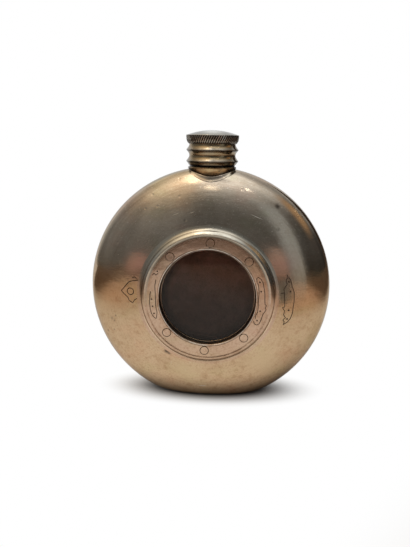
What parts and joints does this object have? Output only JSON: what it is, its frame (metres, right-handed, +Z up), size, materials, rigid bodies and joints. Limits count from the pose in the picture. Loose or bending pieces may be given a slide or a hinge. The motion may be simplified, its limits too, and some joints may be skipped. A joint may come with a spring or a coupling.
{
  "type": "pewter hip flask",
  "caption": "Round hip flask of two soldered domed halves on a flat foot, with a riveted porthole window in the front and a knurled screw cap on a threaded spout.",
  "frame": {"origin": "under the middle of the flat foot, on the surface that the flask stands on", "axes": "+Z up along the neck; the porthole window faces -Y; +X to the right seen from the front"},
  "size_m": [0.1, 0.04, 0.1094],
  "materials": {
    "pewter_body": "worn polished pewter",
    "pewter_ring": "satin pewter",
    "pewter_cap": "worn polished pewter",
    "pewter_tarnished": "tarnished pewter",
    "brass_insert": "dull brass",
    "window_glass": "dark clear glass",
    "gasket_rubber": "black rubber",
    "cork_seal": "pressed cork"
  },
  "bodies": {
    "flask": {"front_shell": "pewter_body", "rear_shell": "pewter_body", "bezel_ring": "pewter_ring", "bezel_rivet_1": "pewter_ring", "bezel_rivet_2": "pewter_ring", "bezel_rivet_3": "pewter_ring", "bezel_rivet_4": "pewter_ring", "bezel_rivet_5": "pewter_ring", "bezel_rivet_6": "pewter_ring", "window_glass": "window_glass", "window_gasket_outer": "gasket_rubber", "window_gasket_inner": "gasket_rubber", "window_seat_ring": "pewter_tarnished", "neck_collar": "pewter_tarnished", "neck_spout": "pewter_body"},
    "cap_seal": {"cap_seal": "cork_seal"},
    "cap": {"cap_shell": "pewter_cap", "cap_thread_insert": "brass_insert"}
  },
  "joints": [
    {"name": "cap_lift", "type": "slide", "parent": "flask", "child": "cap_seal", "axis": [0, 0, 1], "range_m": [0, 0.0161]},
    {"name": "cap_turn", "type": "hinge", "parent": "cap_seal", "child": "cap", "pos_m": [0, 0, 0.1], "axis": [0, 0, 1], "range_deg": [0, 1800]}
  ],
  "couplings": [
    {"joint": "cap_lift", "follows": "cap_turn", "m_per_rad": 0.0005093}
  ]
}
